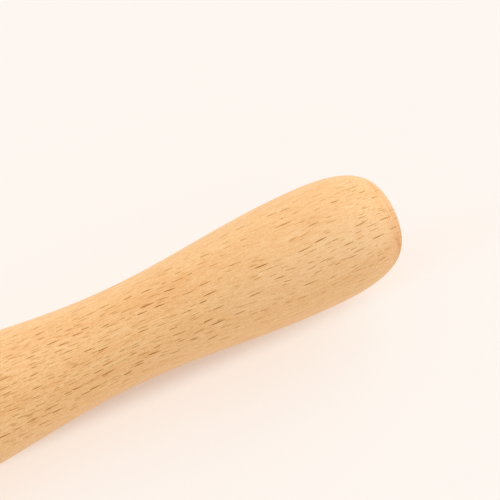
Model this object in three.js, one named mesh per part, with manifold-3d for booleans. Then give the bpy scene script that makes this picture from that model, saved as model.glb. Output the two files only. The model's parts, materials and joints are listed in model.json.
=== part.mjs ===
// A woodturner's parting tool: a turned beech handle, a brass ferrule and a parallel steel blade.
// Lengths are millimetres, and +Z is up.
// The tool lies as it does on a bench: the belly of its handle and the point of its blade touch z = 0.
// Its butt points towards -X and its cutting edge towards +X, with the wide sides of the blade up and down.
// The origin is below the middle of the whole tool, on the surface that it lies on.

import * as THREE from "three";
import { mergeVertices } from "three/addons/utils/BufferGeometryUtils.js";
import Module from "manifold-3d";

const wasm = await Module();
wasm.setup();

// Driving dimensions of the handle, in the order in which its parts follow each other from the butt
const BUTT_LENGTH = 24.5;
const BULB_RADIUS = 17;
const GRIP_LENGTH = 58.7;
const WAIST_RADIUS = 13.6;
const SWELL_LENGTH = 76.8;
const BELLY_RADIUS = 18.8;
const TAPER_LENGTH = 56;
const COVE_RADIUS = 11.9;
const BEAD_LENGTH = 6.4;
const BEAD_RADIUS = 13.6;
const QUIRK_LENGTH = 1.2;
const COLLAR_LENGTH = 4.2;
const COLLAR_RADIUS = 12.7;
const COLLAR_ROUND = 1.1;

// Driving dimensions of the ferrule
const FERRULE_LENGTH = 24;
const FERRULE_RADIUS = 11.1;
const FERRULE_WALL = 1;
const FERRULE_ROUND = 0.6;
const SPIGOT_PROUD = 0.5;
const SPIGOT_CHAMFER = 0.4;

// Driving dimensions of the blade
const BLADE_LENGTH = 152;
const BLADE_HEIGHT = 19;
const BLADE_THICKNESS = 3.2;
const BLADE_CHAMFER = 0.4;
const BEVEL_ANGLE = THREE.MathUtils.degToRad(25);
const TANG_LENGTH = 68;
const TANG_ROOT_HEIGHT = 8.6;
const TANG_END_HEIGHT = 5;
const TANG_THICKNESS = 2.9;
const TANG_POINT = 3;

// Clearance between pieces that seat on each other, and the overrun of cutting and joining solids
const SEAT_GAP = 0.3;
const OVERRUN = 1;

// Shares that shape the handle's curves: how far each end of a curve runs on along its own tangent
const BUTT_DOME_SHARE = 0.61;
const BUTT_ROUND_SHARE = 0.89;
const GRIP_START_SHARE = 0.4;
const GRIP_END_SHARE = 0.37;
const SWELL_START_SHARE = 0.32;
const SWELL_END_SHARE = 0.46;
const TAPER_START_SHARE = 0.5;
const TAPER_END_SHARE = 0.34;
// The tang's point is this share of its end height
const TANG_TIP_SHARE = 0.4;

// Numbers of steps
const AROUND = 64;
const CURVE_STEPS = 12;
const BEAD_STEPS = 6;
const ROUND_STEPS = 3;

// Places along the axis, from the butt
const bulbPlace = BUTT_LENGTH;
const waistPlace = bulbPlace + GRIP_LENGTH;
const bellyPlace = waistPlace + SWELL_LENGTH;
const covePlace = bellyPlace + TAPER_LENGTH;
const beadEnd = covePlace + BEAD_LENGTH;
const collarPlace = beadEnd + QUIRK_LENGTH;
const shoulderPlace = collarPlace + COLLAR_LENGTH;
const ferrulePlace = shoulderPlace + SEAT_GAP;
const ferruleEnd = ferrulePlace + FERRULE_LENGTH;
const handleEnd = ferruleEnd + SPIGOT_PROUD;
const bladePlace = handleEnd + SEAT_GAP;
const tipPlace = bladePlace + BLADE_LENGTH;

const beech = new THREE.MeshStandardMaterial({ color: 0xe2b584, roughness: 0.5, metalness: 0 });
const brass = new THREE.MeshStandardMaterial({ color: 0xc8a24c, roughness: 0.32, metalness: 1 });
const steel = new THREE.MeshStandardMaterial({ color: 0x9c9fa3, roughness: 0.34, metalness: 1 });

// A point of a turned outline: its distance from the butt and its radius.
const at = (place, radius) => new THREE.Vector2(radius, place);

// A smooth stretch of outline that leaves `from` and reaches `to` parallel to the axis.
function sweep(from, to, startShare, endShare) {
  const run = to.y - from.y;
  const leave = at(from.y + run * startShare, from.x);
  const arrive = at(to.y - run * endShare, to.x);
  return new THREE.CubicBezierCurve(from, leave, arrive, to).getPoints(CURVE_STEPS);
}

// A half-round bead between two places, standing from a base radius up to its own.
function bead(start, end, base, radius) {
  const middle = (start + end) / 2;
  const half = (end - start) / 2;
  const arc = new THREE.EllipseCurve(base, middle, radius - base, half, -Math.PI / 2, Math.PI / 2);
  return arc.getPoints(BEAD_STEPS);
}

// The quarter round of an outer corner, from the side that faces the butt or onto the other side.
function round(place, radius, size, towardsTip) {
  const centre = towardsTip ? place - size : place + size;
  const first = towardsTip ? 0 : -Math.PI / 2;
  const arc = new THREE.EllipseCurve(radius - size, centre, size, size, first, first + Math.PI / 2);
  return arc.getPoints(ROUND_STEPS);
}

// A turned piece along +X. Half a step of turn puts one flat of its outline underneath.
function turned(outline) {
  const lathe = new THREE.LatheGeometry(outline, AROUND, Math.PI / AROUND);
  return lathe.rotateZ(-Math.PI / 2);
}

function solidOf(geometry) {
  const bare = geometry.clone();
  bare.deleteAttribute("normal");
  bare.deleteAttribute("uv");
  const merged = mergeVertices(bare.index ? bare.toNonIndexed() : bare);
  const vertProperties = merged.attributes.position.array;
  const triVerts = new Uint32Array(merged.index.array);
  return new wasm.Manifold(new wasm.Mesh({ numProp: 3, vertProperties, triVerts }));
}

function geometryOf(solid) {
  const mesh = solid.getMesh();
  const indexed = new THREE.BufferGeometry();
  indexed.setAttribute("position", new THREE.BufferAttribute(mesh.vertProperties, mesh.numProp));
  indexed.setIndex(new THREE.BufferAttribute(mesh.triVerts, 1));
  const geometry = indexed.toNonIndexed();
  geometry.computeVertexNormals();
  return geometry;
}

// A plate with its outline in the XY plane, as much above that plane as below it.
function plate(points, thickness) {
  const shape = new THREE.Shape(points.map(([x, y]) => new THREE.Vector2(x, y)));
  const extruded = new THREE.ExtrudeGeometry(shape, { depth: thickness, bevelEnabled: false });
  return extruded.translate(0, 0, -thickness / 2);
}

function part(name, geometry, material, place) {
  const mesh = new THREE.Mesh(geometry, material);
  mesh.name = name;
  mesh.position.x = place;
  return mesh;
}

// The tang in the blade's own frame, which starts at its shoulders, grown by a clearance on every side.
function tangPlate(clearance) {
  const root = TANG_ROOT_HEIGHT / 2 + clearance;
  const end = TANG_END_HEIGHT / 2 + clearance;
  const tip = (TANG_END_HEIGHT / 2) * TANG_TIP_SHARE + clearance;
  const point = TANG_POINT - TANG_LENGTH;
  const bottom = -TANG_LENGTH - clearance;
  return plate(
    [
      [OVERRUN, -root],
      [OVERRUN, root],
      [0, root],
      [point, end],
      [bottom, tip],
      [bottom, -tip],
      [point, -end],
      [0, -root],
    ],
    TANG_THICKNESS + 2 * clearance,
  );
}

// The outer surface of the handle, from the middle of its butt to its shoulder.
function handleSurface() {
  const butt = new THREE.CubicBezierCurve(
    at(0, 0),
    at(0, BULB_RADIUS * BUTT_DOME_SHARE),
    at(BUTT_LENGTH * (1 - BUTT_ROUND_SHARE), BULB_RADIUS),
    at(bulbPlace, BULB_RADIUS),
  );
  const bulb = at(bulbPlace, BULB_RADIUS);
  const waist = at(waistPlace, WAIST_RADIUS);
  const belly = at(bellyPlace, BELLY_RADIUS);
  const cove = at(covePlace, COVE_RADIUS);
  return [
    ...butt.getPoints(CURVE_STEPS),
    ...sweep(bulb, waist, GRIP_START_SHARE, GRIP_END_SHARE).slice(1),
    ...sweep(waist, belly, SWELL_START_SHARE, SWELL_END_SHARE).slice(1),
    ...sweep(belly, cove, TAPER_START_SHARE, TAPER_END_SHARE).slice(1),
    ...bead(covePlace, beadEnd, COVE_RADIUS, BEAD_RADIUS).slice(1),
    at(collarPlace, COVE_RADIUS),
    ...round(collarPlace, COLLAR_RADIUS, COLLAR_ROUND, false),
    ...round(shoulderPlace, COLLAR_RADIUS, COLLAR_ROUND, true),
  ];
}

// One turned piece of beech, with a spigot under the ferrule and a socket of the tang's own shape.
function handleGeometry() {
  const spigotRadius = FERRULE_RADIUS - FERRULE_WALL - SEAT_GAP;
  const outline = [
    ...handleSurface(),
    at(shoulderPlace, spigotRadius),
    at(handleEnd - SPIGOT_CHAMFER, spigotRadius),
    at(handleEnd, spigotRadius - SPIGOT_CHAMFER),
    at(handleEnd, 0),
  ];
  const socket = tangPlate(SEAT_GAP).translate(bladePlace, 0, 0);
  return geometryOf(solidOf(turned(outline)).subtract(solidOf(socket)));
}

// A length of brass tube with rounded outer edges, pressed over the spigot, measured from its own back end.
function ferruleOutline() {
  const inner = FERRULE_RADIUS - FERRULE_WALL;
  return [
    at(0, inner),
    ...round(0, FERRULE_RADIUS, FERRULE_ROUND, false),
    ...round(FERRULE_LENGTH, FERRULE_RADIUS, FERRULE_ROUND, true),
    at(FERRULE_LENGTH, inner),
    at(0, inner),
  ];
}

// One bar with its tang. Two bevels meet at the cutting edge, halfway up the blade.
function bladeGeometry() {
  const half = BLADE_HEIGHT / 2;
  const bevelRun = half / Math.tan(BEVEL_ANGLE);
  const side = plate(
    [
      [0, -half],
      [BLADE_LENGTH - bevelRun, -half],
      [BLADE_LENGTH, 0],
      [BLADE_LENGTH - bevelRun, half],
      [0, half],
    ],
    BLADE_THICKNESS + 2 * OVERRUN,
  );
  const halfThick = BLADE_THICKNESS / 2;
  const section = plate(
    [
      [-halfThick, BLADE_CHAMFER - half],
      [BLADE_CHAMFER - halfThick, -half],
      [halfThick - BLADE_CHAMFER, -half],
      [halfThick, BLADE_CHAMFER - half],
      [halfThick, half - BLADE_CHAMFER],
      [halfThick - BLADE_CHAMFER, half],
      [BLADE_CHAMFER - halfThick, half],
      [-halfThick, half - BLADE_CHAMFER],
    ],
    BLADE_LENGTH + 2 * OVERRUN,
  );
  section.rotateY(Math.PI / 2).translate(BLADE_LENGTH / 2, 0, 0);
  return geometryOf(solidOf(side).intersect(solidOf(section)).add(solidOf(tangPlate(0))));
}

const tool = new THREE.Group();
tool.add(part("handle", handleGeometry(), beech, 0));
tool.add(part("ferrule", turned(ferruleOutline()), brass, ferrulePlace));
tool.add(part("blade", bladeGeometry(), steel, bladePlace));

// The bench surface runs from the lower side of the blade's point to the flat under the handle's belly.
const flatShare = Math.cos(Math.PI / AROUND);
const drop = (point) => Math.atan2(point.x * flatShare - BLADE_THICKNESS / 2, tipPlace - point.y);
tool.rotation.y = Math.max(...handleSurface().map(drop));

const lying = new THREE.Group();
lying.add(tool);
const box = new THREE.Box3().setFromObject(lying, true);
const middle = box.getCenter(new THREE.Vector3());
tool.position.set(-middle.x, -middle.y, -box.min.z);

export default lying;
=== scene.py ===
"""The look of a woodturner's parting tool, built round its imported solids.

Each piece is modelled along the tool's own axis: x runs from the middle of the butt to the cutting edge, and z
stands square to the wide sides of the blade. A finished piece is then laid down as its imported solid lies, on the
belly of the handle and the lower end of the cutting edge. Lengths are metres, but millimetres in the finishes.
"""

import json
import logging
import math
from contextlib import contextmanager
from dataclasses import dataclass
from enum import Enum
from typing import Any, Callable, Iterator, Mapping, NamedTuple, Sequence, Union

import bmesh
import bpy
from mathutils import Matrix, Vector


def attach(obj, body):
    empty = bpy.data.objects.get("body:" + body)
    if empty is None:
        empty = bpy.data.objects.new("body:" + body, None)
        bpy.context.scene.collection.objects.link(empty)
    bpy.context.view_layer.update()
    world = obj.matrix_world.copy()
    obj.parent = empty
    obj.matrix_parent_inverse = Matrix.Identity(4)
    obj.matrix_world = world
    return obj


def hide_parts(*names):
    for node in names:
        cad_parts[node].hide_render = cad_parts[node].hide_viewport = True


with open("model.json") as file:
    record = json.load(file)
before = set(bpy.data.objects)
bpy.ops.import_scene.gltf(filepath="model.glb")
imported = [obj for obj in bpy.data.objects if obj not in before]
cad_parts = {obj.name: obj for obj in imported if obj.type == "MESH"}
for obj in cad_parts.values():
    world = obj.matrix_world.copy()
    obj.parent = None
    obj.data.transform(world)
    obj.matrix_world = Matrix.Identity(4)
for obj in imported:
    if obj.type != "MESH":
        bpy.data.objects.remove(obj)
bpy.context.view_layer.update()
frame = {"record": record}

LOG = logging.getLogger("parting_tool")

MM = 0.001
MICRON = 0.001 * MM
TURN = 2 * math.pi
ALONG = Vector((1, 0, 0))
ACROSS = Vector((0, 1, 0))
REST_MOUNT = "blade_side"


# Finishes

Colour = tuple[float, float, float]
Inputs = Mapping[Union[str, int], Any]
Socket = bpy.types.NodeSocket

BLACK: Colour = (0.0, 0.0, 0.0)
WHITE: Colour = (1.0, 1.0, 1.0)
NOISE_MIDDLE = 0.5

# A Mix node's sockets for colours, by number, because its names repeat.
MIX_FACTOR, MIX_FIRST, MIX_SECOND, MIX_RESULT = 0, 6, 7, 2


class Ramp(NamedTuple):
    """A smooth rise: the value that gives 0, and the one that gives 1, which may be the smaller of the two."""

    start: float
    full: float


class Grain(NamedTuple):
    """A noise pattern: how far it runs along x, y and z before it changes, and how it is layered."""

    x: float
    y: float
    z: float
    detail: float = 2.0
    roughness: float = 0.5


FULL_RANGE = Ramp(0, 1)


class Over(Enum):
    """How one colour goes over another."""

    COVER = "MIX"
    STAIN = "MULTIPLY"


class Wire:
    """A number that runs through a node tree, with Python's arithmetic."""

    def __init__(self, recipe: "Recipe", socket: Socket) -> None:
        """Wraps an output socket of a recipe's tree.

        Args:
            recipe: The recipe whose tree the socket is in.
            socket: The output socket.
        """
        self.recipe = recipe
        self.socket = socket

    def __add__(self, other: "Number") -> "Wire":
        """Adds a number or another wire."""
        return self.recipe.math("ADD", self, other)

    __radd__ = __add__

    def __sub__(self, other: "Number") -> "Wire":
        """Takes a number or another wire away."""
        return self.recipe.math("SUBTRACT", self, other)

    def __rsub__(self, other: float) -> "Wire":
        """Takes this wire away from a number."""
        return self.recipe.math("SUBTRACT", other, self)

    def __mul__(self, other: "Number") -> "Wire":
        """Multiplies by a number or another wire."""
        return self.recipe.math("MULTIPLY", self, other)

    __rmul__ = __mul__

    def __truediv__(self, other: "Number") -> "Wire":
        """Divides by a number or another wire."""
        return self.recipe.math("DIVIDE", self, other)

    def __pow__(self, other: "Number") -> "Wire":
        """Raises to a power."""
        return self.recipe.math("POWER", self, other)

    def between(self, ramp: Ramp) -> "Wire":
        """Rises smoothly from 0 to 1 over a ramp.

        Args:
            ramp: The ramp.

        Returns:
            The eased wire.
        """
        settings = {"interpolation_type": "SMOOTHSTEP"}
        inputs = {"Value": self, "From Min": ramp.start, "From Max": ramp.full}
        return Wire(self.recipe, self.recipe.node("ShaderNodeMapRange", settings, inputs).outputs[0])


Number = Union[float, Wire]
Point = tuple[Wire, Wire, Wire]


def rgba(colour: Colour) -> tuple[float, float, float, float]:
    """A colour with full cover."""
    return (*colour, 1.0)


def from_display(red: int, green: int, blue: int) -> Colour:
    """The scene's own linear colour for one given in display values from 0 to 255.

    Args:
        red: The red value.
        green: The green value.
        blue: The blue value.

    Returns:
        The linear colour.
    """

    def linear(value: int) -> float:
        """One channel, by the standard display curve with its own constants."""
        share = value / 255
        return share / 12.92 if share <= 0.04045 else ((share + 0.055) / 1.055) ** 2.4

    return linear(red), linear(green), linear(blue)


class Recipe:
    """A node tree in the making, with short words for the nodes that the finishes use."""

    def __init__(self, tree: bpy.types.NodeTree) -> None:
        """Empties a tree and starts on it.

        Args:
            tree: The node tree of a material or of the world.
        """
        self.tree = tree
        self.tree.nodes.clear()

    def node(self, kind: str, settings: Mapping[str, Any], inputs: Inputs) -> bpy.types.Node:
        """Adds a node.

        Args:
            kind: The node's type.
            settings: The node's own properties, set first.
            inputs: A value, a wire or an output socket for each input, by name or number.

        Returns:
            The new node.
        """
        made = self.tree.nodes.new(kind)
        for key, value in settings.items():
            setattr(made, key, value)
        for key, value in inputs.items():
            if isinstance(value, Wire):
                self.tree.links.new(value.socket, made.inputs[key])
            elif isinstance(value, Socket):
                self.tree.links.new(value, made.inputs[key])
            else:
                made.inputs[key].default_value = value
        return made

    def math(self, operation: str, *values: Number) -> Wire:
        """One Math node.

        Args:
            operation: The node's operation.
            values: Its inputs, in order.

        Returns:
            Its result.
        """
        made = self.node("ShaderNodeMath", {"operation": operation}, dict(enumerate(values)))
        return Wire(self, made.outputs[0])

    def coordinates(self, placed: Matrix) -> Point:
        """Object coordinates in a turned and moved frame, in millimetres.

        Args:
            placed: Where that frame stands in the row's frame.

        Returns:
            The point.
        """
        source = self.node("ShaderNodeTexCoord", {}, {}).outputs["Object"]
        moved = self.node(
            "ShaderNodeMapping",
            {"vector_type": "TEXTURE"},
            {"Vector": source, "Location": placed.translation, "Rotation": placed.to_euler("XYZ")},
        )
        return self.split(self.vector("SCALE", moved.outputs[0], {"Scale": 1 / MM}))

    def vector(self, operation: str, first: Any, others: Inputs) -> Socket:
        """One Vector Math node that gives a vector.

        Args:
            operation: The node's operation.
            first: Its first vector.
            others: Its other inputs.

        Returns:
            The vector socket.
        """
        return self.node("ShaderNodeVectorMath", {"operation": operation}, {0: first, **others}).outputs["Vector"]

    def split(self, vector: Socket) -> Point:
        """The three parts of a vector."""
        made = self.node("ShaderNodeSeparateXYZ", {}, {0: vector})
        return tuple(Wire(self, socket) for socket in made.outputs)

    def join(self, x: Number, y: Number, z: Number) -> Socket:
        """A vector from its three parts."""
        return self.node("ShaderNodeCombineXYZ", {}, {0: x, 1: y, 2: z}).outputs[0]

    def noise(self, point: Point, grain: Grain) -> Wire:
        """Noise from 0 to 1, whose middle is NOISE_MIDDLE.

        Args:
            point: Where the noise is read.
            grain: Its pattern.

        Returns:
            The noise.
        """
        x, y, z = point
        vector = self.join(x / grain.x, y / grain.y, z / grain.z)
        inputs = {"Vector": vector, "Scale": 1.0, "Detail": grain.detail, "Roughness": grain.roughness}
        return Wire(self, self.node("ShaderNodeTexNoise", {}, inputs).outputs[0])

    def blend(self, factor: Number, first: Any, second: Any, way: Over = Over.COVER) -> Socket:
        """Mixes two colours.

        Args:
            factor: How much of the second is taken.
            first: A colour or a colour socket.
            second: Another.
            way: How the second goes over the first.

        Returns:
            The mixed colour's socket.
        """
        settings = {"data_type": "RGBA", "blend_type": way.value}
        under, over = (rgba(colour) if isinstance(colour, tuple) else colour for colour in (first, second))
        made = self.node("ShaderNodeMix", settings, {MIX_FACTOR: factor, MIX_FIRST: under, MIX_SECOND: over})
        return made.outputs[MIX_RESULT]

    def stain(self, factor: Number, ground: Socket, tint: Colour) -> Socket:
        """Darkens a colour by a tint that lets it show through.

        Args:
            factor: How much of the tint is taken.
            ground: The colour's socket.
            tint: The share of red, green and blue that the tint lets through.

        Returns:
            The stained colour's socket.
        """
        return self.blend(factor, ground, self.blend(1.0, ground, tint, Over.STAIN))

    def bump(self, height: Wire) -> Socket:
        """A bent normal for a relief whose height is in millimetres."""
        inputs = {"Height": height, "Distance": MM, "Strength": 1.0}
        return self.node("ShaderNodeBump", {}, inputs).outputs["Normal"]

    def facing(self, way: Vector) -> Wire:
        """How squarely the surface faces one way or its opposite, from 0 to 1.

        Args:
            way: The unit vector of that way.

        Returns:
            The wire.
        """
        normal = self.node("ShaderNodeTexCoord", {}, {}).outputs["Normal"]
        made = self.node("ShaderNodeVectorMath", {"operation": "DOT_PRODUCT"}, {0: normal, 1: way})
        return self.math("ABSOLUTE", Wire(self, made.outputs["Value"]))

    def surface(self, inputs: Inputs) -> None:
        """Ends a material with its shader.

        Args:
            inputs: The inputs of the Principled BSDF.
        """
        shader = self.node("ShaderNodeBsdfPrincipled", {}, inputs)
        self.node("ShaderNodeOutputMaterial", {}, {"Surface": shader.outputs[0]})


def new_material(name: str) -> tuple[bpy.types.Material, Recipe]:
    """Starts a material.

    Args:
        name: Its name.

    Returns:
        The material and the recipe for its tree.
    """
    material = bpy.data.materials.new(name)
    material.use_nodes = True
    return material, Recipe(material.node_tree)


class Spot(NamedTuple):
    """A spot in the block of wood: along its fibres, aside from its middle, and round and out from its heart."""

    along: Wire
    aside: Wire
    arc: Wire
    depth: Wire

    @property
    def in_fibres(self) -> Point:
        """The spot in the frame that follows the fibres and the rings."""
        return self.along, self.arc, self.depth


@dataclass(frozen=True)
class Flecks:
    """A layer of short dark marks along the grain, each where a ray comes to the surface.

    Each cell of a stretched grid holds one mark, an ellipse that is darker towards one end. A strong mark is also
    longer and thicker. The halo round a mark reaches farther to its sides than the mark itself.
    """

    pitch_along: float
    pitch_across: float
    shortest: float
    longest: float
    thinnest: float
    thickest: float
    faintest: float
    seed: float
    strength_power: float = 2.0
    length_from_strength: float = 0.4
    body_ramp: Ramp = Ramp(0, 0.4)
    halo_ramp: Ramp = Ramp(0, 0.9)
    halo_squeeze: float = 0.17
    fade_along: float = 0.25

    def mark(self, recipe: Recipe, spot: Spot, ray_depth: float, missing: Wire) -> tuple[Wire, Wire]:
        """How strongly a spot is marked, and how near it is to a mark, each from 0 to 1.

        Args:
            recipe: The material's recipe.
            spot: The spot.
            ray_depth: How far a ray runs out from the heart.
            missing: The share of the marks that are left out.

        Returns:
            The mark and the nearness.
        """
        cells = recipe.join(
            spot.along / self.pitch_along + self.seed, spot.arc / self.pitch_across, spot.depth / ray_depth
        )
        voronoi = recipe.node("ShaderNodeTexVoronoi", {}, {"Vector": cells, "Scale": 1.0})
        colour = recipe.node("ShaderNodeSeparateColor", {}, {0: voronoi.outputs["Color"]})
        for_length, for_keeping, for_strength = (Wire(recipe, socket) for socket in colour.outputs)
        offset = recipe.vector("SUBTRACT", cells, {1: voronoi.outputs["Position"]})
        offset_along, offset_across, _ = recipe.split(offset)

        strength = for_strength**self.strength_power
        kept = recipe.math("GREATER_THAN", for_keeping, missing)
        length = for_length * (1 - self.length_from_strength) + strength * self.length_from_strength
        long_half = (length * (self.longest - self.shortest) + self.shortest) / 2
        thick_half = (strength * (self.thickest - self.thinnest) + self.thinnest) / 2
        end = offset_along * self.pitch_along / long_half
        side = offset_across * self.pitch_across / thick_half

        tone = (strength * (1 - self.faintest) + self.faintest) * kept
        body = (1 - end * end - side * side).between(self.body_ramp)
        near = (1 - end * end - side * side * self.halo_squeeze).between(self.halo_ramp)
        return body * tone * (end * self.fade_along + (1 - self.fade_along)), near * tone


@dataclass(frozen=True)
class Beech:
    """Beech under a thin satin lacquer, patterned through and through, as the block it was turned from.

    In the block's own frame, x runs along the fibres and z out from the heart, and the picture's lower side of the
    handle is the side of positive y. The block leans and turns a little against the handle. Some of its tones are
    painted light: sheen on both rims, highlight over part of the paler butt, and shade on the end's lower side.
    """

    pale: Colour = (0.99, 0.65, 0.327)
    warm: Colour = (0.935, 0.555, 0.252)
    # Paler wood of the butt, partly its own tone and partly painted highlight.
    pale_highlit_butt: Colour = (1.0, 0.684, 0.377)
    ray: Colour = (0.16, 0.018, 0.0)
    halo: Colour = (1.0, 0.87, 0.42)
    fibre_shade: Colour = (0.90, 0.76, 0.61)
    # The end grain's own darker tone, also used for painted shade on the end's lower side.
    end_grain_and_shade: Colour = (0.90, 0.79, 0.70)
    turned_line: Colour = (0.85, 0.70, 0.55)

    ring_turn: float = math.radians(-27)
    grain_lean: float = math.radians(-1.8)
    heart_depth: float = 80.0
    wander: Grain = Grain(24, 16, 16, 1.0)
    depth_wander: float = 2.0
    arc_wander: float = 2.4

    streak: Grain = Grain(38, 0.55, 0.8)
    patch: Grain = Grain(30, 5, 5)
    ring_pitch: float = 3.4
    ring_power: float = 3.0
    # Where the painted sheen on the handle's two rims starts and is full, in millimetres aside.
    sheen_rim: Ramp = Ramp(6, 13)
    warmth: float = 0.42
    streak_warmth: float = 0.9
    patch_warmth: float = 1.3
    ring_warmth: float = 0.18
    # How much paler the painted sheen makes the rims.
    painted_sheen: float = 0.3

    # Where the butt's paler wood and painted highlight reach, along and aside, how strong it is, and how much it
    # eases the fibres' shading.
    pale_highlit_reach: Ramp = Ramp(15, 75)
    pale_highlit_upper: Ramp = Ramp(-12, 6)
    pale_highlit_lower: Ramp = Ramp(4.5, 12.5)
    pale_highlit_share: float = 0.8
    pale_highlit_smoothness: float = 0.3

    fibre: Grain = Grain(9, 0.26, 0.26, 1.0)
    fibre_ramp: Ramp = Ramp(0.62, 0.36)
    pore: Grain = Grain(0.5, 0.2, 0.2, 0.0)
    pore_ramp: Ramp = Ramp(0.68, 0.38)
    fibre_depth: float = 0.55
    pore_depth: float = 0.55

    rays: Flecks = Flecks(5.4, 1.4, 2.0, 5.2, 0.14, 0.25, 0.51, seed=0.0)
    small_rays: Flecks = Flecks(3.3, 1.0, 1.2, 3.2, 0.09, 0.16, 0.34, seed=37.3)
    ray_depth: float = 34.0
    small_strength: float = 0.8
    halo_strength: float = 0.6
    flake: Ramp = Ramp(0.6, 0.95)
    flake_paleness: float = 0.75
    fewer_reach: Ramp = Ramp(52, 88)
    fewest_reach: Ramp = Ramp(16, 30)
    missing_at_butt: float = 0.42
    more_missing_at_bulb: float = 0.13

    # Where the end darkens as the surface faces along the fibres. Most of that darkening is painted shade, which
    # grows from the upper side to the lower.
    end: Ramp = Ramp(0.3, 0.85)
    end_shaded_side: Ramp = Ramp(-8, 13)
    end_strength: float = 0.1
    end_painted_shade: float = 1.2
    lathe: Grain = Grain(0.55, 11, 11, 1.0)
    lathe_ramp: Ramp = Ramp(0.5, 0.68)
    lathe_reach: Ramp = Ramp(0.42, 0.78)

    streak_relief: float = 0.004
    mark_relief: float = 0.012
    roughness: float = 0.47
    streak_roughness: float = 0.12
    end_roughness: float = 0.08
    ior: float = 1.38

    def spot(self, recipe: Recipe, block: Matrix) -> Spot:
        """Where a point of the surface lies in the block, whose fibres and rings wander a little.

        Args:
            recipe: The material's recipe.
            block: Where the block's frame stands in the row's frame.

        Returns:
            The spot.
        """
        along, aside, out = recipe.coordinates(block)
        wander = recipe.noise((along, aside, out), self.wander) - NOISE_MIDDLE
        away = out + self.heart_depth
        depth = recipe.math("SQRT", aside * aside + away * away) + wander * self.depth_wander
        arc = recipe.math("ARCTAN2", aside, away) * self.heart_depth + wander * self.arc_wander
        return Spot(along, aside, arc, depth)

    def plain(self, recipe: Recipe, spot: Spot, streak: Wire) -> Socket:
        """The wood without its marks: streaks, patches and rings, painted sheen on its rims, a paler butt that is
        partly painted highlight, and fine fibres.

        Args:
            recipe: The material's recipe.
            spot: Where it is read.
            streak: The streaks, about 0.

        Returns:
            The colour's socket.
        """
        patch = recipe.noise(spot.in_fibres, self.patch) - NOISE_MIDDLE
        wave = recipe.math("SINE", (spot.depth / self.ring_pitch) * TURN)
        ring = ((wave + 1) / 2) ** self.ring_power
        # Painted sheen: the wood turns paler towards both rims of the handle, as a sheen would light them.
        sheen_rim = recipe.math("ABSOLUTE", spot.aside).between(self.sheen_rim)
        warmth = (
            self.warmth
            + streak * self.streak_warmth
            + patch * self.patch_warmth
            + ring * self.ring_warmth
            - sheen_rim * self.painted_sheen
        )
        wood = recipe.blend(warmth.between(FULL_RANGE), self.pale, self.warm)

        # The butt is paler over a band from its upper side to short of its lower edge: partly the wood's own paler
        # tone, partly painted highlight. Its fibres are shaded less there too.
        in_reach = 1 - spot.along.between(self.pale_highlit_reach)
        butt = in_reach * spot.aside.between(self.pale_highlit_upper) * (1 - spot.aside.between(self.pale_highlit_lower))
        wood = recipe.blend(butt * self.pale_highlit_share, wood, self.pale_highlit_butt)

        fibre = recipe.noise(spot.in_fibres, self.fibre).between(self.fibre_ramp)
        pore = recipe.noise(spot.in_fibres, self.pore).between(self.pore_ramp)
        shade = (fibre * self.fibre_depth + pore * self.pore_depth) * (1 - butt * self.pale_highlit_smoothness)
        return recipe.stain(shade, wood, self.fibre_shade)

    def marks(self, recipe: Recipe, spot: Spot, flatness: Wire) -> tuple[Wire, Wire]:
        """The marks of the rays, which thin out towards the butt and pale where the rays lie flat in the surface.

        Args:
            recipe: The material's recipe.
            spot: Where they are read.
            flatness: How flat the rays lie in the surface, from 0 to 1.

        Returns:
            The marks, and the halo round them.
        """
        fewer = 1 - spot.along.between(self.fewer_reach)
        at_bulb = spot.along.between(self.fewest_reach)
        missing = fewer * (at_bulb * self.more_missing_at_bulb + self.missing_at_butt)
        mark, near = self.rays.mark(recipe, spot, self.ray_depth, missing)
        small_mark, small_near = self.small_rays.mark(recipe, spot, self.ray_depth, missing)
        flake = flatness.between(self.flake)
        marked = recipe.math("MAXIMUM", mark, small_mark * self.small_strength) * (1 - flake * self.flake_paleness)
        return marked, recipe.math("MAXIMUM", near, small_near) * (1 - flake)

    def lathe_lines(self, recipe: Recipe, rest: "Rest", end_on: Wire) -> Wire:
        """The lines that the lathe left round the butt, where the surface turns away from the side.

        Args:
            recipe: The material's recipe.
            rest: Where the tool lies.
            end_on: How squarely the surface faces along the fibres.

        Returns:
            The lines.
        """
        along, across, up = recipe.coordinates(rest.matrix)
        radius = recipe.math("SQRT", across * across + up * up)
        lines = recipe.noise((along + radius, across, up), self.lathe).between(self.lathe_ramp)
        return end_on.between(self.lathe_reach) * lines

    def material(self, rest: "Rest") -> bpy.types.Material:
        """Makes the material.

        Args:
            rest: Where the tool lies.

        Returns:
            The material.
        """
        material, recipe = new_material("lacquered_beech")
        block = rest.matrix @ Matrix.Rotation(self.ring_turn, 4, "X") @ Matrix.Rotation(self.grain_lean, 4, "Z")
        ways = block.to_3x3()
        spot = self.spot(recipe, block)
        streak = recipe.noise(spot.in_fibres, self.streak) - NOISE_MIDDLE
        wood = self.plain(recipe, spot, streak)

        marked, halo = self.marks(recipe, spot, recipe.facing(ways @ ACROSS))
        wood = recipe.stain(halo * self.halo_strength, wood, self.halo)
        wood = recipe.blend(marked, wood, self.ray)

        end_on = recipe.facing(ways @ ALONG)
        # Darker end where the surface faces along the fibres: a slight part is the end grain's own tone, the rest
        # painted shade that grows towards the lower side.
        end_shaded_side = spot.aside.between(self.end_shaded_side) * self.end_painted_shade + self.end_strength
        end = end_on.between(self.end) * end_shaded_side
        wood = recipe.stain(end, wood, self.end_grain_and_shade)
        wood = recipe.stain(self.lathe_lines(recipe, rest, end_on), wood, self.turned_line)

        recipe.surface(
            {
                "Base Color": wood,
                "Roughness": self.roughness + streak * self.streak_roughness + end * self.end_roughness,
                "Normal": recipe.bump(streak * self.streak_relief - marked * self.mark_relief),
                "IOR": self.ior,
            }
        )
        return material


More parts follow.
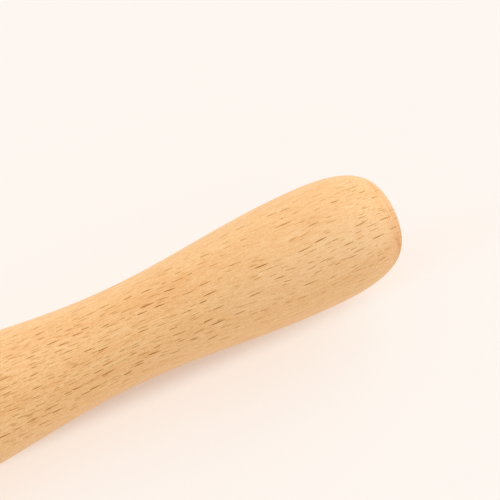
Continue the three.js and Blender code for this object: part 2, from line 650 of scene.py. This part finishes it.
@dataclass(frozen=True)
class Brass:
    """Drawn brass, skimmed on the lathe: fine lines round it, and a slight tarnish."""

    bright: Colour = (0.84, 0.605, 0.29)
    tarnished: Colour = (0.69, 0.45, 0.19)
    line: Grain = Grain(0.11, 9, 9, 3.0, 0.6)
    cloud: Grain = Grain(5, 6, 6, 3.0, 0.6)
    spot: Grain = Grain(1.3, 1.3, 1.3, 4.0, 0.65)
    spot_ramp: Ramp = Ramp(0.58, 0.75)
    tarnish: float = 0.22
    cloud_tarnish: float = 1.6
    spot_tarnish: float = 0.35
    roughness: float = 0.24
    tarnish_roughness: float = 0.14
    line_roughness: float = 0.12
    line_relief: float = 0.004

    def material(self, rest: "Rest") -> bpy.types.Material:
        """Makes the material.

        Args:
            rest: Where the tool lies.

        Returns:
            The material.
        """
        material, recipe = new_material("turned_brass")
        point = recipe.coordinates(rest.matrix)
        lines = recipe.noise(point, self.line) - NOISE_MIDDLE
        clouds = recipe.noise(point, self.cloud) - NOISE_MIDDLE
        spots = recipe.noise(point, self.spot).between(self.spot_ramp)
        tarnish = (clouds * self.cloud_tarnish + spots * self.spot_tarnish + self.tarnish).between(FULL_RANGE)
        recipe.surface(
            {
                "Base Color": recipe.blend(tarnish, self.bright, self.tarnished),
                "Metallic": 1.0,
                "Roughness": self.roughness + tarnish * self.tarnish_roughness + lines * self.line_roughness,
                "Normal": recipe.bump(lines * self.line_relief),
            }
        )
        return material


@dataclass(frozen=True)
class GroundSteel:
    """Hardened tool steel: ground along its sides and edges, and across its two bevels from heel to edge."""

    bright: Colour = (0.55, 0.562, 0.58)
    grey: Colour = (0.36, 0.37, 0.388)
    side_line: Grain = Grain(30, 0.5, 0.5, 5.0, 0.75)
    bevel_line: Grain = Grain(9, 9, 0.25, 4.0, 0.75)
    cloud: Grain = Grain(14, 7, 7, 3.0, 0.6)
    bevel: Ramp = Ramp(0.25, 0.38)
    greyness: float = 0.45
    line_greyness: float = 1.6
    cloud_greyness: float = 0.35
    bevel_brightness: float = 0.35
    roughness: float = 0.30
    cloud_roughness: float = 0.08
    line_roughness: float = 0.25
    bevel_smoothness: float = 0.08
    line_relief: float = 0.012

    def material(self, rest: "Rest") -> bpy.types.Material:
        """Makes the material.

        Args:
            rest: Where the tool lies.

        Returns:
            The material.
        """
        material, recipe = new_material("ground_tool_steel")
        point = recipe.coordinates(rest.matrix)
        side_lines = recipe.noise(point, self.side_line) - NOISE_MIDDLE
        bevel_lines = recipe.noise(point, self.bevel_line) - NOISE_MIDDLE
        on_bevel = recipe.facing(rest.matrix.to_3x3() @ ALONG).between(self.bevel)
        lines = side_lines * (1 - on_bevel) + bevel_lines * on_bevel
        clouds = recipe.noise(point, self.cloud) - NOISE_MIDDLE
        tone = self.greyness + lines * self.line_greyness + clouds * self.cloud_greyness
        grey = (tone - on_bevel * self.bevel_brightness).between(FULL_RANGE)
        roughness = self.roughness + clouds * self.cloud_roughness + lines * self.line_roughness
        recipe.surface(
            {
                "Base Color": recipe.blend(grey, self.bright, self.grey),
                "Metallic": 1.0,
                "Roughness": roughness - on_bevel * self.bevel_smoothness,
                "Normal": recipe.bump(lines * self.line_relief),
            }
        )
        return material


# Modelling

SQUARE_ON = 0.9
FULL_WEIGHT = 100


@dataclass(frozen=True)
class Rest:
    """How the tool lies: the matrix from its own frame to the row's."""

    matrix: Matrix

    @classmethod
    def from_record(cls, record: Mapping[str, Any], datum: Vector) -> "Rest":
        """Reads the place and the turn from the mount on the blade's upper wide side.

        Args:
            record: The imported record.
            datum: The mount's place in the tool's own frame.

        Returns:
            The tool's rest.
        """
        mount = next(mount for mount in record["mounts"] if mount["name"] == REST_MOUNT)
        up = Vector(mount["axis"]).normalized()
        turn = Matrix((ACROSS.cross(up), ACROSS, up)).transposed().to_4x4()
        return cls(Matrix.Translation(mount["pos_m"]) @ turn @ Matrix.Translation(-datum))

    def lay(self, piece: bpy.types.Object) -> None:
        """Lays a finished piece down and puts its place into its mesh.

        Args:
            piece: The piece, modelled in the tool's own frame.
        """
        piece.matrix_world = self.matrix
        only(piece)
        bpy.ops.object.transform_apply(location=True, rotation=True, scale=True)


class Element(Enum):
    """What is selected in edit mode, with the name of its list in a mesh."""

    EDGE = "edges"
    FACE = "faces"


class Station(NamedTuple):
    """A point of a turned outline, or a distance along the axis and one away from it."""

    place: float
    radius: float


def only(piece: bpy.types.Object) -> None:
    """Selects one object alone and makes it active.

    Args:
        piece: The object.
    """
    bpy.ops.object.select_all(action="DESELECT")
    piece.select_set(True)
    bpy.context.view_layer.objects.active = piece


@contextmanager
def editing(piece: bpy.types.Object) -> Iterator[None]:
    """Edit mode on one object.

    Args:
        piece: The object.

    Yields:
        Nothing: edit mode is on meanwhile.
    """
    only(piece)
    bpy.ops.object.mode_set(mode="EDIT")
    yield
    bpy.ops.object.mode_set(mode="OBJECT")


def pick(piece: bpy.types.Object, element: Element, test: Callable[[Any], bool]) -> None:
    """Selects the faces or edges of an object in edit mode that pass a test.

    Args:
        piece: The object.
        element: Which of the two is selected.
        test: Says whether one of them is.
    """
    bpy.ops.mesh.select_mode(type=element.name)
    bpy.ops.mesh.select_all(action="DESELECT")
    mesh = bmesh.from_edit_mesh(piece.data)
    for candidate in getattr(mesh, element.value):
        if test(candidate):
            candidate.select_set(True)
    bmesh.update_edit_mesh(piece.data)


def merge_all() -> None:
    """Merges the points of the mesh in edit mode that fall together."""
    bpy.ops.mesh.select_all(action="SELECT")
    bpy.ops.mesh.remove_doubles(threshold=MICRON)


def named(name: str) -> bpy.types.Object:
    """Gives the active object its name.

    Args:
        name: The name.

    Returns:
        The object.
    """
    piece = bpy.context.active_object
    piece.name = name
    piece.data.name = name
    return piece


def smoothed(piece: bpy.types.Object, angle: float) -> None:
    """Shades an object smooth, but for edges sharper than an angle."""
    only(piece)
    bpy.ops.object.shade_smooth_by_angle(angle=angle)


def modified(piece: bpy.types.Object, kind: str, settings: Mapping[str, Any]) -> None:
    """Puts one modifier on a piece and applies it.

    Args:
        piece: The piece.
        kind: The modifier's type.
        settings: Its properties.
    """
    only(piece)
    modifier = piece.modifiers.new(kind.lower(), kind)
    for key, value in settings.items():
        setattr(modifier, key, value)
    bpy.ops.object.modifier_apply(modifier=modifier.name)


def cut(piece: bpy.types.Object, cutter: bpy.types.Object) -> None:
    """Takes a cutter's shape out of a piece, merges the points that fall together, and deletes the cutter.

    Args:
        piece: The piece.
        cutter: The cutter.
    """
    modified(piece, "BOOLEAN", {"operation": "DIFFERENCE", "solver": "EXACT", "object": cutter})
    bpy.data.objects.remove(cutter)
    with editing(piece):
        merge_all()


def bezier(points: Sequence[Station], steps: int) -> list[Station]:
    """The stations of a cubic curve.

    Args:
        points: Its four points.
        steps: How many steps it is drawn in.

    Returns:
        The stations, both ends among them.
    """
    made = []
    for step in range(steps + 1):
        t = step / steps
        shares = ((1 - t) ** 3, 3 * t * (1 - t) ** 2, 3 * t * t * (1 - t), t**3)
        made.append(Station(*(sum(s * p[axis] for s, p in zip(shares, points)) for axis in (0, 1))))
    return made


def sweep(start: Station, end: Station, shares: tuple[float, float], steps: int) -> list[Station]:
    """A smooth stretch that leaves its start and reaches its end parallel to the axis.

    Args:
        start: Where it starts.
        end: Where it ends.
        shares: How much of its length the start's tangent runs on for, and the same for the end's.
        steps: How many steps it is drawn in.

    Returns:
        The stations, both ends among them.
    """
    run = end.place - start.place
    leave = Station(start.place + run * shares[0], start.radius)
    arrive = Station(end.place - run * shares[1], end.radius)
    return bezier((start, leave, arrive, end), steps)


def rounding(centre: Station, half: Station, first: float, last: float, steps: int) -> list[Station]:
    """Part of an ellipse, whose angle starts from the axis's own direction.

    Args:
        centre: Its centre.
        half: Half its length along the axis and across it.
        first: The angle where it starts.
        last: The angle where it ends.
        steps: How many steps it is drawn in.

    Returns:
        The stations, both ends among them.
    """
    angles = [first + (last - first) * step / steps for step in range(steps + 1)]
    return [
        Station(centre.place + half.place * math.cos(a), centre.radius + half.radius * math.sin(a)) for a in angles
    ]


def spin(name: str, outline: Sequence[Station], steps: int) -> bpy.types.Object:
    """Spins an outline about the tool's axis, as on a lathe.

    Args:
        name: The new piece's name.
        outline: Its stations. It starts and ends on the axis, or closes on itself.
        steps: How many steps the turn is made in.

    Returns:
        The turned piece.
    """
    bpy.ops.object.select_all(action="DESELECT")
    start = outline[0]
    bpy.ops.mesh.primitive_plane_add(size=MM, location=(start.place, start.radius, 0))
    piece = named(name)
    bpy.ops.object.transform_apply(location=True)
    with editing(piece):
        bpy.ops.mesh.select_mode(type="VERT")
        bpy.ops.mesh.select_all(action="SELECT")
        bpy.ops.mesh.merge(type="CENTER")
        for last, here in zip(outline, outline[1:]):
            step = (here.place - last.place, here.radius - last.radius, 0)
            bpy.ops.mesh.extrude_vertices_move(TRANSFORM_OT_translate={"value": step})
        bpy.ops.mesh.select_all(action="SELECT")
        bpy.ops.mesh.spin(steps=steps, angle=TURN, center=(0, 0, 0), axis=ALONG)
        merge_all()
        bpy.ops.mesh.normals_make_consistent(inside=False)
    return piece


class Slot(Enum):
    """The record's material slots."""

    BEECH = "beech"
    BRASS = "brass"
    STEEL = "tool_steel"


@dataclass(frozen=True)
class Fit:
    """The sizes that two pieces share where they meet."""

    seat_gap: float = 0.3 * MM
    ferrule_length: float = 24 * MM
    ferrule_radius: float = 11.1 * MM
    ferrule_wall: float = 1 * MM
    spigot_proud: float = 0.5 * MM
    tang_root: float = 8.6 * MM
    tang_thickness: float = 2.9 * MM


@dataclass
class Handle:
    """The turned beech handle: butt, bulb, waist, belly and cove, then bead, quirk, collar and spigot.

    A pair of shares says for how much of its length a stretch keeps to the axis's direction at its two ends.
    """

    fit: Fit
    butt_length: float = 24.5 * MM
    bulb_radius: float = 17 * MM
    grip_length: float = 58.7 * MM
    waist_radius: float = 13.6 * MM
    swell_length: float = 76.8 * MM
    belly_radius: float = 18.8 * MM
    taper_length: float = 56 * MM
    cove_radius: float = 11.9 * MM
    bead_length: float = 6.4 * MM
    bead_radius: float = 13.6 * MM
    quirk_length: float = 1.2 * MM
    collar_length: float = 4.2 * MM
    collar_radius: float = 12.7 * MM
    collar_round: float = 1.1 * MM
    spigot_chamfer: float = 0.4 * MM
    socket_depth: float = 30 * MM
    dome_share: float = 0.61
    round_share: float = 0.89
    grip_shares: tuple[float, float] = (0.4, 0.37)
    swell_shares: tuple[float, float] = (0.32, 0.46)
    taper_shares: tuple[float, float] = (0.5, 0.34)
    curve_steps: int = 40
    bead_steps: int = 16
    corner_steps: int = 6
    around: int = 160
    smooth_angle: float = math.radians(35)
    node: str = "handle"
    slot: Slot = Slot.BEECH

    @property
    def shoulder(self) -> float:
        """Where the handle's shoulder meets the ferrule."""
        lengths = (self.butt_length, self.grip_length, self.swell_length, self.taper_length)
        return sum(lengths) + self.bead_length + self.quirk_length + self.collar_length

    @property
    def end(self) -> float:
        """Where the spigot ends."""
        return self.shoulder + self.fit.seat_gap + self.fit.ferrule_length + self.fit.spigot_proud

    def outline(self) -> list[Station]:
        """The turned outline.

        Returns:
            The stations, from the middle of the butt to the middle of the spigot's end.
        """
        steps, corner_steps = self.curve_steps, self.corner_steps
        bulb = Station(self.butt_length, self.bulb_radius)
        waist = Station(bulb.place + self.grip_length, self.waist_radius)
        belly = Station(waist.place + self.swell_length, self.belly_radius)
        cove = Station(belly.place + self.taper_length, self.cove_radius)
        dome = Station(0, self.bulb_radius * self.dome_share)
        brow = Station(self.butt_length * (1 - self.round_share), self.bulb_radius)
        bead_half = Station(self.bead_length / 2, self.bead_radius - self.cove_radius)
        bead_middle = Station(cove.place + bead_half.place, self.cove_radius)
        collar = cove.place + self.bead_length + self.quirk_length
        corner = Station(self.collar_round, self.collar_round)
        corner_radius = self.collar_radius - self.collar_round
        rise = Station(collar + corner.place, corner_radius)
        fall = Station(self.shoulder - corner.place, corner_radius)
        spigot = self.fit.ferrule_radius - self.fit.ferrule_wall - self.fit.seat_gap
        return [
            *bezier((Station(0, 0), dome, brow, bulb), steps),
            *sweep(bulb, waist, self.grip_shares, steps)[1:],
            *sweep(waist, belly, self.swell_shares, steps)[1:],
            *sweep(belly, cove, self.taper_shares, steps)[1:],
            *rounding(bead_middle, bead_half, math.pi, 0, self.bead_steps)[1:],
            Station(collar, self.cove_radius),
            *rounding(rise, corner, math.pi, math.pi / 2, corner_steps),
            *rounding(fall, corner, math.pi / 2, 0, corner_steps),
            Station(self.shoulder, spigot),
            Station(self.end - self.spigot_chamfer, spigot),
            Station(self.end, spigot - self.spigot_chamfer),
            Station(self.end, 0),
        ]

    def build(self) -> bpy.types.Object:
        """Models the handle: turned, then cut out for the tang by a block that stands half outside it.

        Returns:
            The handle.
        """
        piece = spin("turned_handle", self.outline(), self.around)
        gap = self.fit.seat_gap
        size = Vector((self.socket_depth * 2, self.fit.tang_root + gap, self.fit.tang_thickness + gap))
        bpy.ops.object.select_all(action="DESELECT")
        bpy.ops.mesh.primitive_cube_add(size=1, location=(self.end, 0, 0), scale=size)
        cut(piece, named("socket_cutter"))
        smoothed(piece, self.smooth_angle)
        return piece

    def finish(self, rest: Rest) -> bpy.types.Material:
        """The handle's material."""
        return Beech().material(rest)


@dataclass
class Ferrule:
    """The brass ferrule, with the two punch marks that lock it to the wood."""

    fit: Fit
    start: float
    end_round: float = 0.6 * MM
    mark_depth: float = 0.55 * MM
    mark_radius: float = 2 * MM
    mark_share: float = 0.3
    mark_sides: int = 24
    corner_steps: int = 6
    around: int = 160
    smooth_angle: float = math.radians(30)
    node: str = "ferrule"
    slot: Slot = Slot.BRASS

    def outline(self) -> list[Station]:
        """The tube's outline.

        Returns:
            The stations, closed on the first of them.
        """
        outer = self.fit.ferrule_radius
        inner = outer - self.fit.ferrule_wall
        end = self.start + self.fit.ferrule_length
        corner = Station(self.end_round, self.end_round)
        radius = outer - self.end_round
        return [
            Station(self.start, inner),
            *rounding(Station(self.start + corner.place, radius), corner, math.pi, math.pi / 2, self.corner_steps),
            *rounding(Station(end - corner.place, radius), corner, math.pi / 2, 0, self.corner_steps),
            Station(end, inner),
            Station(self.start, inner),
        ]

    def build(self) -> bpy.types.Object:
        """Models the ferrule: turned, then marked from above and below by a cone that stands half outside it.

        Returns:
            The ferrule.
        """
        piece = spin("brass_ferrule", self.outline(), self.around)
        place = self.start + self.fit.ferrule_length * self.mark_share
        for side, turn in ((1, math.pi), (-1, 0)):
            bpy.ops.object.select_all(action="DESELECT")
            bpy.ops.mesh.primitive_cone_add(
                vertices=self.mark_sides,
                radius1=self.mark_radius,
                radius2=0,
                depth=self.mark_depth * 2,
                location=(place, 0, side * self.fit.ferrule_radius),
                rotation=(turn, 0, 0),
            )
            cut(piece, named("centre_punch"))
        smoothed(piece, self.smooth_angle)
        return piece

    def finish(self, rest: Rest) -> bpy.types.Material:
        """The ferrule's material."""
        return Brass().material(rest)


@dataclass
class Blade:
    """The parallel blade, with its two bevels and its tang."""

    fit: Fit
    start: float
    length: float = 152 * MM
    height: float = 19 * MM
    thickness: float = 3.2 * MM
    chamfer: float = 0.4 * MM
    bevel_angle: float = math.radians(25)
    tang_length: float = 29 * MM
    mount_from_shoulder: float = 70 * MM
    edge_round: float = 0.05 * MM
    edge_steps: int = 2
    edge_angle: float = math.radians(20)
    smooth_angle: float = math.radians(30)
    node: str = "blade"
    slot: Slot = Slot.STEEL

    @property
    def bevel_run(self) -> float:
        """How far back the bevels reach."""
        return self.height / 2 / math.tan(self.bevel_angle)

    @property
    def mount_place(self) -> Vector:
        """The place of the mount on the upper wide side."""
        return Vector((self.start + self.mount_from_shoulder, 0, self.thickness / 2))

    def build(self) -> bpy.types.Object:
        """Models the blade: a bar, drawn out to its edge at one end and to its tang at the other.

        Returns:
            The blade.
        """
        heel = self.length - self.bevel_run
        tip = self.start + self.length
        size = Vector((heel, self.height, self.thickness))
        shrink = (1, self.fit.tang_root / self.height, self.fit.tang_thickness / self.thickness)
        bpy.ops.object.select_all(action="DESELECT")
        bpy.ops.mesh.primitive_cube_add(size=1, location=(self.start + heel / 2, 0, 0), scale=size)
        piece = named("ground_blade")
        bpy.ops.object.transform_apply(location=True, rotation=True, scale=True)
        with editing(piece):
            pick(piece, Element.EDGE, self.is_long_edge)
            bpy.ops.mesh.bevel(offset=self.chamfer, offset_type="WIDTH", segments=1)
            pick(piece, Element.FACE, lambda face: face.normal.x > SQUARE_ON)
            bpy.ops.mesh.extrude_region_move(TRANSFORM_OT_translate={"value": (self.bevel_run, 0, 0)})
            bpy.ops.transform.resize(value=(1, 0, 1), center_override=(tip, 0, 0))
            merge_all()
            pick(piece, Element.FACE, lambda face: face.normal.x < -SQUARE_ON)
            bpy.ops.mesh.extrude_region_move(TRANSFORM_OT_translate={"value": (0, 0, 0)})
            bpy.ops.transform.resize(value=shrink, center_override=(self.start, 0, 0))
            bpy.ops.mesh.extrude_region_move(TRANSFORM_OT_translate={"value": (-self.tang_length, 0, 0)})
            bpy.ops.mesh.select_all(action="SELECT")
            bpy.ops.mesh.normals_make_consistent(inside=False)
        rounded = {"width": self.edge_round, "segments": self.edge_steps, "angle_limit": self.edge_angle}
        modified(piece, "BEVEL", {"limit_method": "ANGLE", **rounded})
        smoothed(piece, self.smooth_angle)
        modified(piece, "WEIGHTED_NORMAL", {"mode": "FACE_AREA", "weight": FULL_WEIGHT, "keep_sharp": True})
        return piece

    def is_long_edge(self, edge: bmesh.types.BMEdge) -> bool:
        """Whether an edge runs along the blade."""
        first, second = edge.verts
        return abs(first.co.x - second.co.x) > self.height

    def finish(self, rest: Rest) -> bpy.types.Material:
        """The blade's material."""
        return GroundSteel().material(rest)


# Studio


def towards(azimuth: float, elevation: float) -> Vector:
    """The way from the tool to a point seen at an azimuth and an elevation.

    Args:
        azimuth: 0 is on the -Y side, and a quarter turn is on the +X side.
        elevation: The angle above the floor.

    Returns:
        The unit vector.
    """
    level = math.cos(elevation)
    return Vector((math.sin(azimuth) * level, -math.cos(azimuth) * level, math.sin(elevation)))


@dataclass
class Studio:
    """A pale seamless surface, even light from all round, one broad lamp and the camera.

    The fill and the lamp together light the floor at a plain level. Beyond lift_start from the row's middle line,
    the share lift of the floor's colour glows, which lightens its shadows. The camera sees the point of the tool's
    axis at aim_place from the butt at the pixel aim_pixel.
    """

    backdrop: Colour = from_display(254, 247, 241)
    floor_radius: float = 60.0
    floor_sides: int = 96
    lift: Colour = (0.95, 0.75, 0.66)
    lift_start: float = 2.5 * MM
    lift_full: float = 11.5 * MM
    fill: float = 0.73
    key_level: float = 0.405
    key_spread: float = math.radians(56)
    key_azimuth: float = math.radians(-62)
    key_elevation: float = math.radians(48)
    azimuth: float = math.radians(154.05)
    elevation: float = math.radians(60)
    distance: float = 516 * MM
    lens: float = 135.0
    sensor: float = 36.0
    clip_start: float = 10 * MM
    image_side: float = 500.0
    aim_place: float = 50 * MM
    aim_pixel: tuple[float, float] = (230.6, 286.45)

    def seen(self, recipe: Recipe) -> Wire:
        """1 for rays that come from the camera, or from it by way of metal or glass, and 0 for the rest.

        Args:
            recipe: The recipe of the floor or the world.

        Returns:
            The wire.
        """
        path = recipe.node("ShaderNodeLightPath", {}, {})
        kinds = ("Is Camera Ray", "Is Glossy Ray", "Is Transmission Ray")
        camera, glossy, through = (Wire(recipe, path.outputs[kind]) for kind in kinds)
        return recipe.math("MAXIMUM", recipe.math("MAXIMUM", camera, glossy), through)

    def lay_floor(self) -> None:
        """The surface that the tool lies on, whose shadows are seen lightened away from the tool."""
        bpy.ops.object.select_all(action="DESELECT")
        bpy.ops.mesh.primitive_circle_add(vertices=self.floor_sides, radius=self.floor_radius, fill_type="NGON")
        floor = named("floor")
        material, recipe = new_material("pale_surface")
        position = recipe.node("ShaderNodeTexCoord", {}, {}).outputs["Object"]
        aside = recipe.math("ABSOLUTE", recipe.split(position)[1])
        lifted = self.seen(recipe) * aside.between(Ramp(self.lift_start, self.lift_full))
        glow = tuple(shade * share for shade, share in zip(self.backdrop, self.lift))
        floor_level = self.fill + self.key_level * math.sin(self.key_elevation)
        matt = tuple(shade / floor_level for shade in self.backdrop)
        matt_under_glow = tuple(shade * (1 - share) for shade, share in zip(matt, self.lift))
        recipe.surface(
            {
                "Base Color": recipe.blend(lifted, matt, matt_under_glow),
                "Emission Color": recipe.blend(lifted, BLACK, glow),
                "Emission Strength": 1.0,
                "Roughness": 1.0,
                "Specular IOR Level": 0.0,
            }
        )
        floor.data.materials.append(material)

    def light(self) -> None:
        """The light from all round, and the lamp, whose rays are as parallel as a far window's."""
        world = bpy.data.worlds.new("studio")
        bpy.context.scene.world = world
        world.use_nodes = True
        recipe = Recipe(world.node_tree)
        fill = recipe.node("ShaderNodeBackground", {}, {"Color": rgba(WHITE), "Strength": self.fill})
        shown = recipe.node("ShaderNodeBackground", {}, {"Color": rgba(self.backdrop), "Strength": 1.0})
        inputs = {0: self.seen(recipe), 1: fill.outputs[0], 2: shown.outputs[0]}
        mixed = recipe.node("ShaderNodeMixShader", {}, inputs)
        recipe.node("ShaderNodeOutputWorld", {}, {"Surface": mixed.outputs[0]})

        lamp = bpy.data.lights.new("key", "SUN")
        lamp.energy = self.key_level * math.pi
        lamp.angle = self.key_spread
        key = bpy.data.objects.new("key", lamp)
        bpy.context.scene.collection.objects.link(key)
        key.rotation_mode = "QUATERNION"
        key.rotation_quaternion = (-towards(self.key_azimuth, self.key_elevation)).to_track_quat("-Z", "Y")

    def point_camera(self, rest: Rest) -> None:
        """Looks at the butt half of the handle, as the picture does.

        Args:
            rest: Where the tool lies.
        """
        back = towards(self.azimuth, self.elevation)
        right = Vector((math.cos(self.azimuth), math.sin(self.azimuth), 0))
        up = back.cross(right)
        focal = self.lens / self.sensor * self.image_side
        aside, below = (pixel - self.image_side / 2 for pixel in self.aim_pixel)
        target = rest.matrix @ (ALONG * self.aim_place)
        lens = bpy.data.cameras.new("camera")
        lens.lens = self.lens
        lens.sensor_width = self.sensor
        lens.clip_start = self.clip_start
        camera = bpy.data.objects.new("camera", lens)
        bpy.context.scene.collection.objects.link(camera)
        shift = (up * below - right * aside) * self.distance / focal
        camera.location = target + back * self.distance + shift
        camera.rotation_mode = "QUATERNION"
        camera.rotation_quaternion = Matrix((right, up, back)).transposed().to_quaternion()
        bpy.context.scene.camera = camera


def main() -> None:
    """Builds the tool and the studio."""
    logging.basicConfig(level=logging.INFO, format="%(message)s")
    bpy.context.scene.view_settings.view_transform = "Standard"
    fit = Fit()
    handle = Handle(fit)
    ferrule = Ferrule(fit, handle.shoulder + fit.seat_gap)
    blade = Blade(fit, handle.end + fit.seat_gap)
    rest = Rest.from_record(frame["record"], blade.mount_place)
    studio = Studio()
    studio.point_camera(rest)
    studio.light()
    studio.lay_floor()
    for part in (handle, ferrule, blade):
        piece = part.build()
        piece.data.materials.clear()
        piece.data.materials.append(part.finish(rest))
        rest.lay(piece)
        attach(piece, "root")
        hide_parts(part.node)
        LOG.info("%s: %d faces, for %s", piece.name, len(piece.data.polygons), part.node)


if __name__ == "__main__":
    main()
